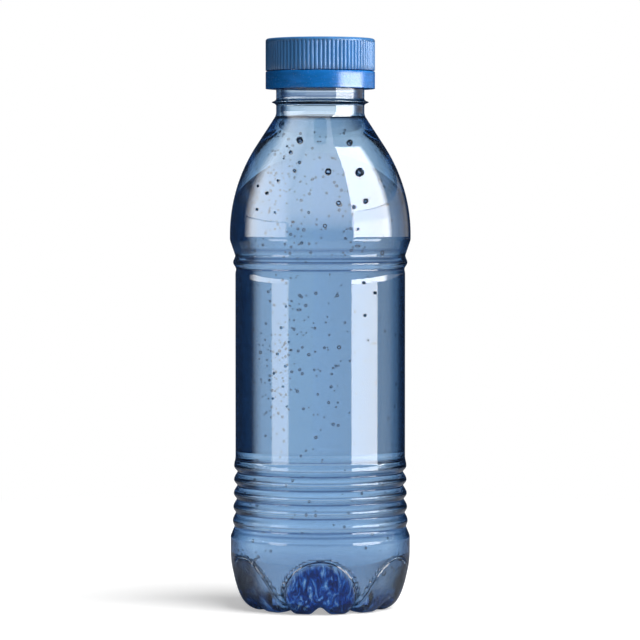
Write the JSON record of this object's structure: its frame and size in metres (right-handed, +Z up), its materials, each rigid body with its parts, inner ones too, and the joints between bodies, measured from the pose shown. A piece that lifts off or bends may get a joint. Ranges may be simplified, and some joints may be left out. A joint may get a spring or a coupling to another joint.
{
  "type": "plastic water bottle",
  "caption": "Clear blown plastic bottle with a waist ring, ribs and a petal-shaped base, full of water, closed by a knurled screw cap over a tamper band.",
  "frame": {"origin": "on the bottle's axis, at the level of the feet it stands on", "axes": "+Z up along the bottle's axis towards the cap, -Y towards the foot that faces the front"},
  "size_m": [0.0668, 0.0668, 0.2105],
  "materials": {
    "clear_pet": "clear, glossy, blue-tinted blown PET",
    "water": "clear drinking water with small bubbles on the wall",
    "blue_cap": "satin moulded blue polypropylene",
    "blue_band": "smooth moulded blue polypropylene",
    "liner": "soft white sealing compound"
  },
  "bodies": {
    "bottle": {"bottle_body": "clear_pet", "water": "water", "tamper_band": "blue_band"},
    "seal": {"seal_liner": "liner"},
    "cap": {"cap_shell": "blue_cap"}
  },
  "joints": [
    {"name": "cap_lift", "type": "slide", "parent": "bottle", "child": "seal", "axis": [0, 0, 1], "range_m": [0, 0.00321]},
    {"name": "cap_turn", "type": "hinge", "parent": "seal", "child": "cap", "pos_m": [0, 0, 0.2], "axis": [0, 0, 1], "range_deg": [0, 288]}
  ],
  "couplings": [
    {"joint": "cap_lift", "follows": "cap_turn", "m_per_rad": 0.00063662}
  ]
}
